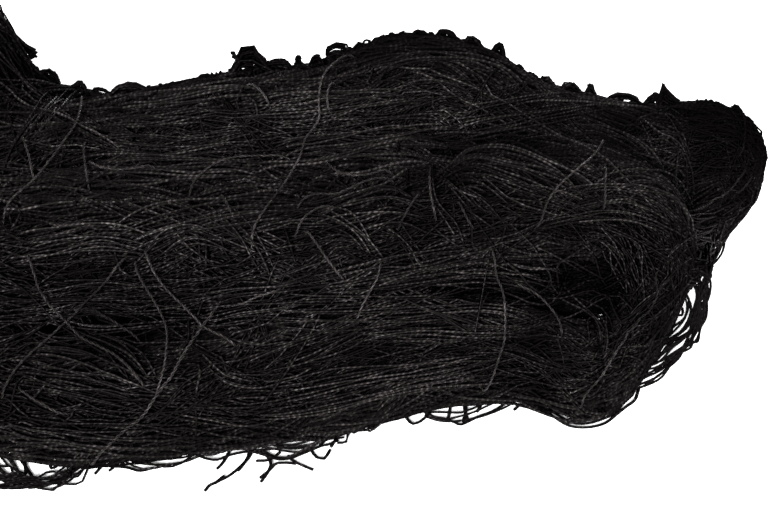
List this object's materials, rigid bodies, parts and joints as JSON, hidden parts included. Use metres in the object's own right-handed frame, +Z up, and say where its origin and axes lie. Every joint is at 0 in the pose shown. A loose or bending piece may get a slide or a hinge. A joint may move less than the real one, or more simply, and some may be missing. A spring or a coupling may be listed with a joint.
{
  "type": "bird net",
  "caption": "Bird net of black twine, gathered into a band and folded back and forth into a bundle that lies flat, with loose strands over it and loops along its edge.",
  "frame": {"origin": "bottom centre of the bundle's box, on the surface it lies on", "axes": "+X along the bundle, +Y away from its front, +Z up"},
  "size_m": [0.3038, 0.1364, 0.0718],
  "materials": {
    "black_twine": "black twisted plastic twine, dull with a slight sheen along each strand"
  },
  "bodies": {
    "root": {"net_bundle": "black_twine"}
  },
  "joints": []
}
